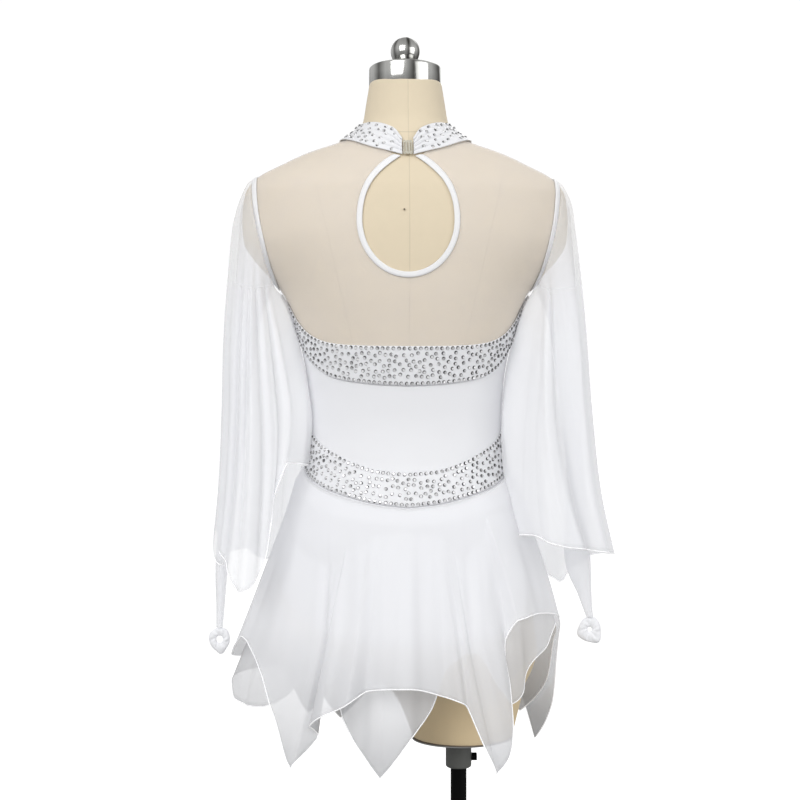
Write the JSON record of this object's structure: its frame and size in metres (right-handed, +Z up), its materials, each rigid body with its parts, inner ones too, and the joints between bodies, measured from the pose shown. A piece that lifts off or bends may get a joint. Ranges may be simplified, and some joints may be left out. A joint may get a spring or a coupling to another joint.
{
  "type": "figure skating dress on a dress form",
  "caption": "White long-sleeved skating dress with a keyhole back, bell sleeves and a layered handkerchief skirt, on a limbless dress form with a pole stand.",
  "frame": {"origin": "middle of the base's underside, on the pole's axis", "axes": "+Z up, +Y the way the wearer faces, +X the wearer's right"},
  "size_m": [0.5114, 0.3889, 1.5615],
  "materials": {
    "form_cloth": "woven cloth, matt",
    "chrome": "polished",
    "plate_steel": "plain",
    "socket_grey": "satin",
    "stand_black": "satin",
    "sheer_mesh": "sheer stretch mesh",
    "white_elastic": "satin elastic",
    "white_stretch": "satin stretch cloth with clear stones",
    "clear_clasp": "clear",
    "matt_stretch": "matt satin stretch cloth",
    "white_chiffon": "sheer chiffon, rolled hems"
  },
  "bodies": {
    "base": {"base": "stand_black"},
    "pole": {"pole": "stand_black"},
    "form": {"torso": "form_cloth", "neck_cap": "chrome", "finial": "chrome", "form_plate": "plate_steel", "socket": "socket_grey", "thumb_screw": "stand_black", "back_yoke": "sheer_mesh", "front_yoke": "sheer_mesh", "keyhole_binding": "white_elastic", "collar": "white_stretch", "clasp": "clear_clasp", "armhole_binding_left": "white_elastic", "armhole_binding_right": "white_elastic", "bust_band_back": "white_stretch", "bust_band_front": "white_stretch", "midriff_back": "matt_stretch", "bodice_front": "matt_stretch", "waist_band_back": "white_stretch", "waist_band_front": "white_stretch", "brief": "matt_stretch", "skirt_lower": "white_chiffon", "skirt_upper": "white_chiffon", "sleeve_left": "white_chiffon", "sleeve_right": "white_chiffon", "bell_left": "white_chiffon", "bell_right": "white_chiffon", "finger_loop_left": "white_chiffon", "finger_loop_right": "white_chiffon"}
  },
  "joints": [
    {"name": "turn", "type": "hinge", "parent": "base", "child": "pole", "pos_m": [0, 0, 0], "axis": [0, 0, 1], "continuous": true},
    {"name": "height", "type": "slide", "parent": "pole", "child": "form", "axis": [0, 0, 1], "range_m": [-0.1, 0.12]}
  ]
}
